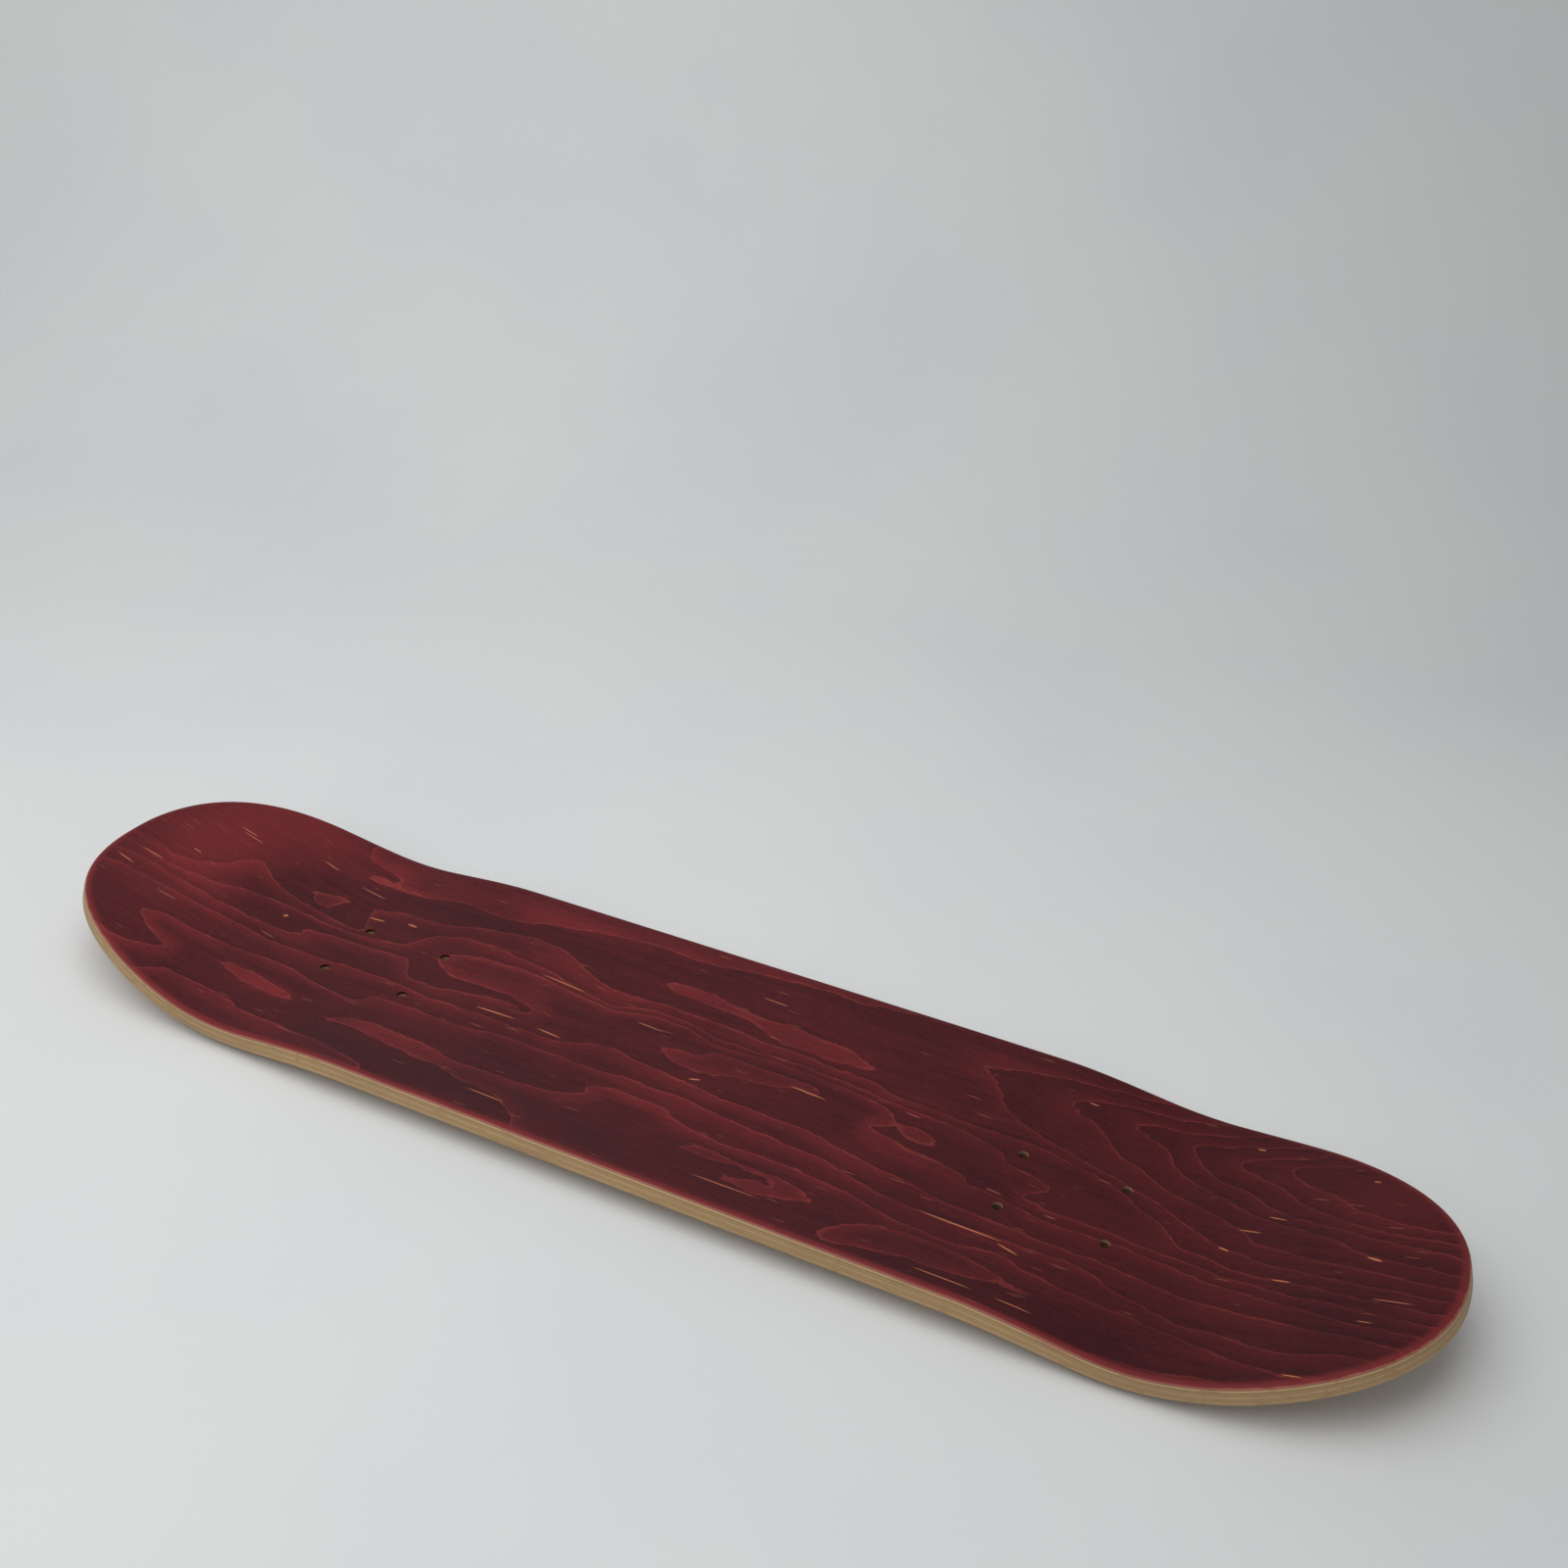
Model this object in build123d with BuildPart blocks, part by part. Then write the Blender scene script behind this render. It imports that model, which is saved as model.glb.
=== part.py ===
from build123d import *
from dataclasses import dataclass
import math
import os

# A bare popsicle skateboard deck pressed from seven maple veneers, top side up.
# Frame: +X along the deck towards the tail, +Y across it, +Z up. The origin is on the
# underside, midway between the two truck bolt patterns.

# Outline, measured along the top surface. Lengths run from the middle to each tip.
nose_length = 396.8
tail_length = 392.0
middle_half_width = 95.6
nose_half_width = 95.4
tail_half_width = 94.9
nose_shoulder = 240.0
tail_shoulder = 238.5
nose_roundness = 2.46
tail_roundness = 2.21
tip_half_width = 8.0

# Lengthwise bends. Each end stays flat, then curves on an arc, then kicks up straight.
nose_bend_start = 222.5
tail_bend_start = 236.0
nose_bend_radius = 293.0
tail_bend_radius = 263.0
nose_kick_angle = 15.8
tail_kick_angle = 17.0

# Concave across the width. The middle strip is flat, so that trucks seat on it. The
# shares are of the full depth: at the middle of each bend, and at each tip.
flat_half_width = 25.0
concave_depth = 9.5
concave_fade = 60.0
nose_bend_concave = 0.25
nose_tip_concave = 0.8
tail_bend_concave = 0.1
tail_tip_concave = 0.0

# Veneers, the narrow flats sanded along the edges of the two face veneers, and the depth
# sanded off the underside's middle strip to make it truly flat.
ply_thickness = 1.57
sanded_edge = 1.1
sanded_underside = 0.15

# Truck bolt holes.
wheelbase = 355.6
bolt_spacing_long = 53.98
bolt_spacing_cross = 41.28
bolt_hole_diameter = 5.6

# How finely the outline and the pressed surfaces are sampled.
outline_steps = 26
rows_along = 33
rows_across = 15
surface_margin = 14.0
surface_tolerance = 0.03
blank_clearance = 6.0

ply_names = ["top_face_ply", "upper_long_ply", "upper_cross_ply", "core_ply",
             "lower_cross_ply", "lower_long_ply", "bottom_face_ply"]
deck_thickness = len(ply_names) * ply_thickness
bolt_pattern_offset = (wheelbase + bolt_spacing_long) / 2.0


@dataclass(frozen=True)
class DeckEnd:
    """Sizes of one end of the deck, the nose or the tail. The kick is in radians."""

    side: float
    length: float
    half_width: float
    shoulder: float
    roundness: float
    bend_start: float
    bend_radius: float
    kick: float
    bend_concave: float
    tip_concave: float


nose = DeckEnd(side=-1.0, length=nose_length, half_width=nose_half_width, shoulder=nose_shoulder,
               roundness=nose_roundness, bend_start=nose_bend_start, bend_radius=nose_bend_radius,
               kick=math.radians(nose_kick_angle), bend_concave=nose_bend_concave,
               tip_concave=nose_tip_concave)
tail = DeckEnd(side=1.0, length=tail_length, half_width=tail_half_width, shoulder=tail_shoulder,
               roundness=tail_roundness, bend_start=tail_bend_start, bend_radius=tail_bend_radius,
               kick=math.radians(tail_kick_angle), bend_concave=tail_bend_concave,
               tip_concave=tail_tip_concave)


def end_at(u):
    """The end that a station at length u belongs to."""
    return nose if u < 0 else tail


def smooth_step(value):
    """Rises smoothly from 0 to 1 as value goes from 0 to 1."""
    value = min(max(value, 0.0), 1.0)
    return value * value * (3.0 - 2.0 * value)


def half_width(u):
    """Half the width of the outline at length u: a slow taper, then a rounded tip."""
    end = end_at(u)
    taper = (middle_half_width - end.half_width) * min(abs(u) / end.shoulder, 1.0) ** 2
    share = min(max(abs(u) - end.shoulder, 0.0) / (end.length - end.shoulder), 1.0)
    width = (middle_half_width - taper) * (1.0 - share**end.roundness) ** (1.0 / end.roundness)
    return max(width, tip_half_width)


def spine(u):
    """Position and lengthwise tilt of the top's centre line at length u."""
    end = end_at(u)
    bend_length = end.bend_radius * end.kick
    tilt = min(max(abs(u) - end.bend_start, 0.0), bend_length) / end.bend_radius
    straight = max(abs(u) - end.bend_start - bend_length, 0.0)
    x = min(abs(u), end.bend_start) + end.bend_radius * math.sin(tilt) + straight * math.cos(end.kick)
    z = end.bend_radius * (1.0 - math.cos(tilt)) + straight * math.sin(end.kick)
    return end.side * x, z, end.side * tilt


def concave_at(u):
    """Depth of the concave at length u: full between the trucks, less past the bends."""
    end = end_at(u)
    bend_middle = end.bend_start + end.bend_radius * end.kick / 2.0
    fade_start = end.bend_start - concave_fade
    into_bend = smooth_step((abs(u) - fade_start) / (bend_middle - fade_start))
    into_kick = smooth_step((abs(u) - bend_middle) / (end.length - bend_middle))
    lost = (1.0 - end.bend_concave) * into_bend
    regained = (end.tip_concave - end.bend_concave) * into_kick
    return concave_depth * (1.0 - lost + regained)


def deck_point(u, v, depth):
    """Point at length u and offset v across, the given depth below the top surface."""
    x, z, tilt = spine(u)
    reach = middle_half_width - flat_half_width
    run = max(abs(v) - flat_half_width, 0.0) / reach
    rise = concave_at(u) * 2.0 * run**2 / (1.0 + run)
    slope = concave_at(u) * 2.0 * run * (2.0 + run) / (1.0 + run) ** 2 / reach
    lean = math.copysign(math.atan(slope), v)
    up = rise - depth * math.cos(lean)
    return Vector(x - math.sin(tilt) * up, v + depth * math.sin(lean),
                  z + math.cos(tilt) * up + deck_thickness - sanded_underside)


def layer_surface(depth):
    """The pressed surface that lies the given depth below the top."""
    start = -nose_length - surface_margin
    step_along = (nose_length + tail_length + 2.0 * surface_margin) / (rows_along - 1)
    side = middle_half_width + surface_margin
    step_across = 2.0 * side / (rows_across - 1)
    rows = []
    for i in range(rows_along):
        rows.append([deck_point(start + step_along * i, step_across * j - side, depth)
                     for j in range(rows_across)])
    return Face.make_surface_from_array_of_points(rows, tol=surface_tolerance, min_deg=3, max_deg=3)


def rail(side):
    """Points along one rail of the outline, from the tail's tip to the nose's."""
    points = []
    for i in range(outline_steps + 1):
        share = math.cos(math.pi * i / outline_steps)
        u = share * (nose_length if share < 0 else tail_length)
        middle = deck_point(u, side * half_width(u), deck_thickness / 2.0)
        points.append((middle.X, middle.Y))
    return points


layers = [layer_surface(ply_thickness * i) for i in range(len(ply_names) + 1)]
tallest = max(deck_point(-nose_length, 0.0, 0.0).Z, deck_point(tail_length, 0.0, 0.0).Z)

# The block that every veneer is cut from: the deck's outline, drilled for the trucks.
with BuildPart() as block:
    with BuildSketch(Plane.XY.offset(-blank_clearance)):
        with BuildLine():
            far_rail = Spline(*rail(1.0))
            near_rail = Spline(*rail(-1.0))
            Line(far_rail @ 0, near_rail @ 0)
            Line(far_rail @ 1, near_rail @ 1)
        make_face()
    extrude(amount=tallest + 3.0 * blank_clearance)
    with Locations((-bolt_pattern_offset, 0.0), (bolt_pattern_offset, 0.0)):
        with GridLocations(bolt_spacing_long, bolt_spacing_cross, 2, 2):
            Cylinder(bolt_hole_diameter / 2.0, 4.0 * tallest, mode=Mode.SUBTRACT)

# The veneers, from the top down. Each lies between two neighbouring pressed surfaces.
os.makedirs("parts", exist_ok=True)
for index, name in enumerate(ply_names):
    with BuildPart() as ply:
        add(block.part)
        split(bisect_by=layers[index], keep=Keep.BOTTOM)
        split(bisect_by=layers[index + 1], keep=Keep.TOP)
        if index in (0, len(ply_names) - 1):
            pressed_faces = ply.faces().sort_by(SortBy.AREA)[-2:].sort_by(Axis.Z)
            outer_face = pressed_faces[-1] if index == 0 else pressed_faces[0]
            chamfer(outer_face.outer_wire().edges(), length=sanded_edge)
        if index == len(ply_names) - 1:
            split(bisect_by=Plane.XY, keep=Keep.TOP)
    ply.part.label = name
    export_step(ply.part, f"parts/{name}.step")
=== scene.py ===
"""A bare skateboard deck of seven pressed maple veneers, red-stained on top, on a pale paper sweep."""

import logging
import math
from dataclasses import dataclass, field
from enum import Enum
from typing import Any, Sequence

import bmesh
import bpy
import numpy as np
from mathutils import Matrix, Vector
from mathutils.kdtree import KDTree


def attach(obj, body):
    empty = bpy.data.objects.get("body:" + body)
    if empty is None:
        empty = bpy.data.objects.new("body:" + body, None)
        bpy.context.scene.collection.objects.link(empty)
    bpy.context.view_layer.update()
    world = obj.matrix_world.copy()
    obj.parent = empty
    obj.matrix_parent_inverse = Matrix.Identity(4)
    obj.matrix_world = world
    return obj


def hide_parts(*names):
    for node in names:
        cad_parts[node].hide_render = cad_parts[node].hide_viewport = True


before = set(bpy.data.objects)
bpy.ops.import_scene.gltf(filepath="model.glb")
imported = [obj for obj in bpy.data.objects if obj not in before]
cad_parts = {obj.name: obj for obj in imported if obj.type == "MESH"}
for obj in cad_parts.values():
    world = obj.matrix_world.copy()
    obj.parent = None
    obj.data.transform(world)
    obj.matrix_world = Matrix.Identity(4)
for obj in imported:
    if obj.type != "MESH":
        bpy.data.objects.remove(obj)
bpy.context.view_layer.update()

log = logging.getLogger("deck")

Colour = tuple[float, float, float, float]
Triple = tuple[float, float, float]

MM = 0.001
# Vertex attributes that the finishes read.
SHEET = "sheet"  # place on the flat veneer: along, across, and depth below the deck's top
GROWTH = "growth"  # ring count, its slope in rings per metre, and the tone of the stain
RIM = "rim"  # distance in from the outline, up to the margin's width
BORE_WALL = (0.0061, 0.0064)  # values of RIM between which the margin ends


class Grain(Enum):
    """Which way a veneer's grain runs."""

    LONG = "long"
    CROSS = "cross"


def smooth_step(value: np.ndarray) -> np.ndarray:
    """Rises smoothly from 0 to 1 as value goes from 0 to 1."""
    value = np.clip(value, 0.0, 1.0)
    return value * value * (3.0 - 2.0 * value)


@dataclass(frozen=True)
class DeckEnd:
    """Sizes of the nose or the tail, in metres and radians.

    Lengths run along the top surface from the deck's middle. The two concaves are shares of the full one.
    """

    length: float
    half_width: float
    shoulder: float
    roundness: float
    bend_start: float
    bend_radius: float
    kick: float
    bend_concave: float
    tip_concave: float


@dataclass(frozen=True)
class DeckForm:
    """The pressed shape of the deck: its outline, its bends and its concave."""

    nose: DeckEnd = DeckEnd(
        length=0.3968, half_width=0.0954, shoulder=0.240, roundness=2.46, bend_start=0.2225,
        bend_radius=0.293, kick=math.radians(15.8), bend_concave=0.25, tip_concave=0.8)
    tail: DeckEnd = DeckEnd(
        length=0.3920, half_width=0.0949, shoulder=0.2385, roundness=2.21, bend_start=0.2360,
        bend_radius=0.263, kick=math.radians(17.0), bend_concave=0.1, tip_concave=0.0)
    middle_half_width: float = 0.0956
    flat_half_width: float = 0.025
    concave_depth: float = 0.0095
    concave_fade: float = 0.060
    ply_thickness: float = 0.00157
    ply_count: int = 7
    sanded_underside: float = 0.00015
    top_radius: float = 0.0030
    bottom_radius: float = 0.0025

    @property
    def thickness(self) -> float:
        """Thickness of the whole deck."""
        return self.ply_thickness * self.ply_count

    def pick(self, u: np.ndarray, name: str) -> np.ndarray:
        """The nose's or the tail's value of a size, station by station."""
        return np.where(u < 0, getattr(self.nose, name), getattr(self.tail, name))

    def half_width(self, u: np.ndarray) -> np.ndarray:
        """Half the width of the outline.

        Args:
            u: distance along the deck from its middle, towards the tail.

        Returns:
            The half width at each distance: a slow taper to the shoulder, then a rounded end.
        """
        shoulder, length = self.pick(u, "shoulder"), self.pick(u, "length")
        roundness = self.pick(u, "roundness")
        drop = self.middle_half_width - self.pick(u, "half_width")
        width = self.middle_half_width - drop * np.minimum(np.abs(u) / shoulder, 1.0) ** 2
        share = np.clip((np.abs(u) - shoulder) / (length - shoulder), 0.0, 1.0)
        return width * (1.0 - share**roundness) ** (1.0 / roundness)

    def concave(self, u: np.ndarray) -> np.ndarray:
        """Depth of the concave, which fades into the bends and changes again along the kicks.

        Args:
            u: distance along the deck from its middle, towards the tail.

        Returns:
            The depth at each distance.
        """
        start, radius, kick = (self.pick(u, n) for n in ("bend_start", "bend_radius", "kick"))
        middle = start + radius * kick / 2.0
        at_bend, at_tip = self.pick(u, "bend_concave"), self.pick(u, "tip_concave")
        fade = middle - start + self.concave_fade
        into_bend = smooth_step((np.abs(u) - start + self.concave_fade) / fade)
        into_kick = smooth_step((np.abs(u) - middle) / (self.pick(u, "length") - middle))
        return self.concave_depth * (1.0 + (at_bend - 1.0) * into_bend + (at_tip - at_bend) * into_kick)

    def press(self, u: np.ndarray, v: np.ndarray, depth: np.ndarray) -> np.ndarray:
        """Bends flat points into the deck's shape, and sands the underside flat.

        Args:
            u: distance along the deck from its middle, towards the tail.
            v: distance across it.
            depth: distance below the top surface.

        Returns:
            One row of X, Y and Z for each point.
        """
        start, radius, kick = (self.pick(u, n) for n in ("bend_start", "bend_radius", "kick"))
        side = np.where(u < 0, -1.0, 1.0)
        tilt = np.clip(np.abs(u) - start, 0.0, radius * kick) / radius
        straight = np.maximum(np.abs(u) - start - radius * kick, 0.0)
        x = side * (np.minimum(np.abs(u), start) + radius * np.sin(tilt) + straight * np.cos(kick))
        z = radius * (1.0 - np.cos(tilt)) + straight * np.sin(kick)
        reach = self.middle_half_width - self.flat_half_width
        run = np.maximum(np.abs(v) - self.flat_half_width, 0.0) / reach
        rise = self.concave(u)
        lean = np.sign(v) * np.arctan(rise * 2.0 * run * (2.0 + run) / (1.0 + run) ** 2 / reach)
        up = rise * 2.0 * run**2 / (1.0 + run) - depth * np.cos(lean)
        height = np.maximum(z + np.cos(tilt) * up + self.thickness - self.sanded_underside, 0.0)
        return np.stack([x - side * np.sin(tilt) * up, v + depth * np.sin(lean), height], axis=1)

    def rounding(self, depth: np.ndarray) -> np.ndarray:
        """How far the rounded edge stands in from the outline.

        Args:
            depth: distance below the top surface.

        Returns:
            The distance at each depth: a quarter circle at the top and another at the bottom.
        """
        above = np.clip(self.top_radius - depth, 0.0, self.top_radius)
        below = np.clip(self.bottom_radius - (self.thickness - depth), 0.0, self.bottom_radius)
        inset = self.top_radius - np.sqrt(self.top_radius**2 - above**2)
        return inset + self.bottom_radius - np.sqrt(self.bottom_radius**2 - below**2)


# Growth-ring edges on the top veneer: the ring count, and the edge's points as lengths and offsets in
# millimetres from the deck's middle.
RING_EDGES = (
    # centre and lower half: the count grows towards the near rail
    (2.0, ((-380, -27), (-340, -24), (-300, -20), (-260, -17), (-220, -14), (-195, -12), (-165, -15),
           (-140, -15), (-110, -15), (-80, -15), (-60, -7), (-45, -5), (-30, -8), (-10, -10), (20, -14),
           (60, -15), (80, -16), (90, -20), (120, -24), (150, -30), (183, -32), (200, -34), (230, -33),
           (250, -36), (265, -38), (285, -41), (330, -45), (360, -48))),
    (3.0, ((-342, -48), (-330, -42), (-300, -39), (-270, -33), (-245, -32), (-220, -36), (-200, -39),
           (-195, -37), (-190, -29), (-180, -28), (-140, -29), (-110, -24.5), (-80, -25), (-50, -25),
           (-20, -22.5), (10, -24), (50, -29), (90, -31), (110, -38), (140, -43), (165, -43), (200, -41),
           (220, -42), (235, -44), (245, -49), (260, -53), (280, -57), (300, -59), (330, -63))),
    (3.0, ((-338, -53), (-330, -57), (-319, -61), (-306, -64))),
    (4.0, ((-200, -59), (-190, -54), (-170, -51), (-140, -53), (-115, -57), (-100, -57), (-80, -56.5),
           (-60, -55), (-48, -50), (-40, -45), (-45, -38), (-30, -34), (0, -35), (12, -43), (40, -46),
           (80, -45), (110, -48), (140, -57), (165, -57), (187, -53), (200, -57), (225, -59.5), (250, -60),
           (270, -64), (290, -68), (310, -73), (325, -74))),
    (4.0, ((-200, -59), (-170, -62), (-140, -65), (-110, -68), (-80, -73), (-66, -80), (-56, -92))),
    (4.0, ((-285, -51), (-270, -47.5), (-250, -47.5), (-235, -49.5), (-225, -54), (-240, -57), (-255, -57),
           (-272, -54), (-285, -51))),
    (4.0, ((-300, -75), (-277, -73), (-254, -74), (-246, -77), (-218, -79), (-180, -82), (-150, -88))),
    (5.0, ((20, -59), (27, -55), (40, -53.5), (55, -55), (70, -55), (85, -57.5), (95, -61), (99, -64),
           (90, -66), (83, -71), (75, -73), (60, -74), (50, -72), (46, -69), (53, -67), (66, -67), (75, -65),
           (78, -62), (72, -59), (60, -57.5), (45, -59), (35, -61), (20, -59))),
    (5.0, ((133, -64), (150, -61.5), (170, -62.5), (190, -66), (212, -70), (192, -73), (180, -78),
           (150, -81), (130, -85), (110, -92))),
    (2.0, ((-27, 9.5), (-18, 11), (-5, 11.5), (0, 15), (2, 18.5), (30, 19), (58, 18), (57, 14), (45, 8),
           (20, 4.5), (10, 0), (0, -1), (-15, 1), (-22, 5), (-27, 9.5))),
    # the loop round the nose bolts and the arcs beside it
    (1.0, ((-180, 21), (-174, 27), (-158, 31), (-130, 33), (-110, 30.5), (-90, 27.5), (-75, 25.5), (-66, 24),
           (-52, 29), (-36, 30.5), (-21, 30), (0, 24.5), (27, 26), (50, 26.5), (70, 26), (90, 23.5),
           (102, 21), (111, 14), (109, 8), (99, 2), (120, -2), (140, -5), (157, -9), (160, -13), (172, -14),
           (200, -19), (240, -19), (265, -22), (280, -27), (303, -30), (320, -33), (350, -39), (375, -42))),
    (1.0, ((-180, 19), (-174, 12), (-165, 8), (-150, 7.5), (-130, 8.5), (-115, 7))),
    (1.0, ((-104, 3), (-118, 1), (-135, 1), (-150, -2), (-165, -6), (-185, -6), (-191, 2), (-197, 10),
           (-215, 8), (-233, 7), (-254, 4), (-267, 2), (-263, -4), (-277, -9), (-300, -11), (-330, -13),
           (-385, -15))),
    (0.0, ((-205, 22), (-200, 31), (-193, 37), (-179, 42), (-154, 43), (-125, 39), (-100, 34), (-80, 29.5),
           (-67, 28), (-56, 32.5), (-42, 35), (-21, 34.5), (0, 29.5), (25, 30), (53, 31), (79, 29),
           (105, 27), (130, 25), (150, 22), (167, 18), (172, 10), (187, 7), (199, 1), (190, -4), (186, -9),
           (205, -12), (250, -14), (275, -18), (300, -22), (340, -28), (380, -34))),
    (0.0, ((-215, 17), (-240, 15), (-277, 13), (-295, 11), (-316, 6), (-323, 1), (-340, -4), (-360, -9),
           (-388, -7))),
    # upper half, far side
    (-1.0, ((-323, 33), (-309, 25), (-288, 20), (-260, 16.5), (-240, 18), (-260, 20), (-277, 24), (-285, 31),
            (-268, 38), (-242, 42), (-225, 45), (-200, 47), (-180, 52), (-160, 56.5), (-140, 60), (-118, 58),
            (-100, 50), (-80, 42), (-60, 40.5), (-30, 41), (0, 41), (14, 39.5), (28, 37.5), (50, 37.5),
            (70, 37.5), (90, 35.5), (100, 32), (130, 30), (155, 30), (178, 30), (205, 26), (225, 20),
            (240, 11), (252, 6), (257, 0), (265, -8), (285, -13), (300, -16), (340, -21), (380, -26))),
    (-1.0, ((-52, 57), (-45, 61), (-20, 60), (10, 56), (40, 56), (70, 52), (87, 45), (80, 41.5), (55, 41),
            (30, 42), (20, 46), (0, 51), (-20, 52), (-42, 52), (-52, 57))),
    (-1.0, ((-271, 65), (-262, 62), (-240, 63), (-215, 67), (-195, 69.5), (-180, 67), (-165, 66.5),
            (-150, 70), (-140, 74), (-120, 76), (-100, 80), (-85, 82), (-70, 83), (-55, 82), (-45, 80.5),
            (-30, 81), (-15, 84), (0, 87), (20, 88.5), (60, 88), (90, 91))),
    (-1.0, ((-268, 68), (-255, 70), (-246, 73), (-255, 76), (-275, 76))),
    # tail end: nested tips that point towards the nose
    (-2.0, ((230, 89), (215, 86), (190, 82), (165, 78), (145, 75), (138, 72), (148, 65), (155, 55), (160, 47),
            (175, 41), (190, 36), (205, 32), (225, 26), (245, 19), (262, 10), (280, 1), (300, -6), (340, -12),
            (385, -17))),
    (-3.0, ((250, 85), (230, 80), (215, 77), (200, 74), (190, 70), (197, 63), (208, 57), (216, 49), (222, 42),
            (238, 36), (255, 28), (275, 20), (292, 12), (296, 6), (320, 1), (385, -9))),
    (-4.0, ((275, 82), (262, 79), (245, 74), (228, 70), (222, 66), (232, 63), (243, 58), (248, 50), (255, 42),
            (268, 37), (283, 31), (300, 24), (325, 17), (337, 12), (350, 7), (388, 0))),
    (-5.0, ((292, 79), (280, 75), (262, 71), (255, 67), (257, 60), (265, 52), (275, 46), (287, 42), (300, 33),
            (322, 26), (350, 19), (388, 12))),
    (-6.0, ((315, 75), (300, 72), (288, 68), (280, 63), (283, 58), (292, 54), (304, 47), (314, 38), (335, 29),
            (360, 24), (388, 20))),
    (-7.0, ((332, 70), (320, 69), (309, 67), (305, 63), (308, 57), (316, 52), (331, 47), (339, 38),
            (362, 31), (386, 27))),
)
# Heights of the pattern between its edges: ring count, length and offset.
RING_LEVELS = (
    (2.25, -8, 5), (2.3, 12, 10), (2.22, 35, 14), (1.9, -12, 15), (1.88, -22, 15), (1.88, -31, 14),
    (1.86, -5, 15), (1.88, 20, -6), (1.86, 60, 2), (1.86, -40, 5), (1.9, 90, -3), (1.85, -20, 24),
    (1.75, 40, 22.5), (1.9, -48, 15), (1.7, -85, 13), (1.22, -110, 20), (1.2, -150, 20), (1.25, -165, 20),
    (1.3, -70, 20), (0.9, -150, 3), (0.88, -180, 4), (0.9, -125, 4.5), (0.8, -186, 20), (0.92, -110, 0),
    (1.5, -140, -8), (1.55, 80, 12), (4.12, -190, -57), (4.2, -160, -57), (4.22, -130, -60),
    (4.3, -100, -63), (4.4, -75, -65), (4.25, -260, -52), (3.9, -260, -43), (3.88, -215, -47),
    (3.9, -260, -64), (3.92, -190, -68), (3.9, -140, -73), (3.9, -110, -78), (3.92, -215, -63),
    (3.9, -150, -79), (4.4, -270, -82), (3.6, -290, -60), (3.7, -278, -63), (3.4, -324, -50),
    (3.7, -300, -50), (3.9, -170, -46), (3.85, -80, -50), (4.6, -40, -75), (4.6, 0, -70), (4.55, -20, -60),
    (4.5, 30, -80), (4.85, 55, -62), (5.15, 75, -57), (5.18, 70, -70), (5.15, 88, -63), (5.1, 40, -56),
    (5.08, 50, -56), (5.08, 60, -56.3), (4.9, 110, -70), (0.6, 172, -2), (0.42, 182, 0.5), (0.28, 190, 1),
    (3.88, -219, -53), (3.88, -222, -50), (3.88, -221, -57), (5.3, 165, -70), (4.8, 215, -80),
    (4.4, 225, -68), (4.6, 270, -78), (2.7, -362, -50), (2.85, -335, -66), (2.5, -380, -40),
    (2.8, -180, -22), (2.85, 0, -20), (2.7, 60, -24), (-0.75, -20, 56), (-0.72, 30, 50), (-0.75, 62, 46),
    (-1.12, 0, 45), (-1.12, -40, 47), (-1.03, 50, 39.6), (-1.15, -80, 62), (-1.15, -60, 72), (-1.2, 0, 72),
    (-1.35, 50, 72), (-1.6, 90, 68), (-1.85, 120, 66), (-1.5, 110, 50), (-1.7, 135, 48), (-1.5, 150, 35),
    (-1.15, -120, 67), (-1.13, -200, 58), (-1.12, -235, 54), (-1.2, -265, 52), (-1.12, -270, 72),
    (-0.75, -230, 74), (-0.75, -160, 78), (-0.7, -110, 86), (-0.3, -150, 94), (-0.3, -220, 92),
    (-0.9, -275, 84), (-0.6, -235, 30), (-0.55, -215, 35), (-1.12, -295, 34), (-1.06, -275, 20),
    (-1.5, -325, 48), (-1.8, -360, 40), (-1.7, -360, 15), (-1.6, -320, 70), (-1.8, -350, 70),
    (-1.8, -390, 30), (-1.75, -375, 45), (-1.7, -380, 20), (-1.6, -395, 8), (-0.7, 20, 95), (-2.4, 165, 71),
    (-3.4, 206, 70), (-4.5, 238, 67), (-5.5, 268, 66), (-6.5, 292, 64), (-7.4, 340, 60), (-7.5, 370, 45),
    (-7.5, 395, 60), (-7.4, 360, 80), (-1.75, -400, 50), (-1.75, -380, 90), (-1.7, -340, 95),
    (-1.4, -300, 98),
)
# Lighter and darker places in the stain: middle, reach along and across, and amount.
STAIN_TONES = (
    (-352, 25, 48, 62, 0.55), (-300, 78, 60, 20, 0.40), (-250, -52, 30, 7, 0.50), (-150, -58, 50, 7, 0.35),
    (-130, 82, 75, 9, 0.35), (-240, 66, 32, 5, 0.25), (-140, 50, 50, 9, 0.15), (-30, 57, 26, 5, 0.35),
    (50, 48, 40, 7, 0.25), (-15, -38, 26, 7, 0.28), (15, 9, 40, 9, 0.15), (-130, 22, 50, 12, 0.12),
    (70, -70, 24, 6, 0.15), (-150, -78, 80, 16, -0.55), (-210, -44, 40, 12, -0.30),
    (-180, 58, 60, 9, -0.40), (-180, -4, 30, 10, -0.30), (-290, 15, 34, 22, -0.35),
    (-90, -45, 60, 12, -0.25), (0, -80, 90, 14, -0.25), (-90, 62, 40, 14, -0.22), (180, -84, 50, 6, -0.30),
    (60, 70, 60, 10, 0.05), (250, 0, 120, 90, 0.08), (-270, 72, 24, 4, -0.25), (-85, 13, 14, 4, -0.35),
    (350, 48, 30, 26, 0.22), (-60, -68, 70, 14, -0.2),
)
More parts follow.
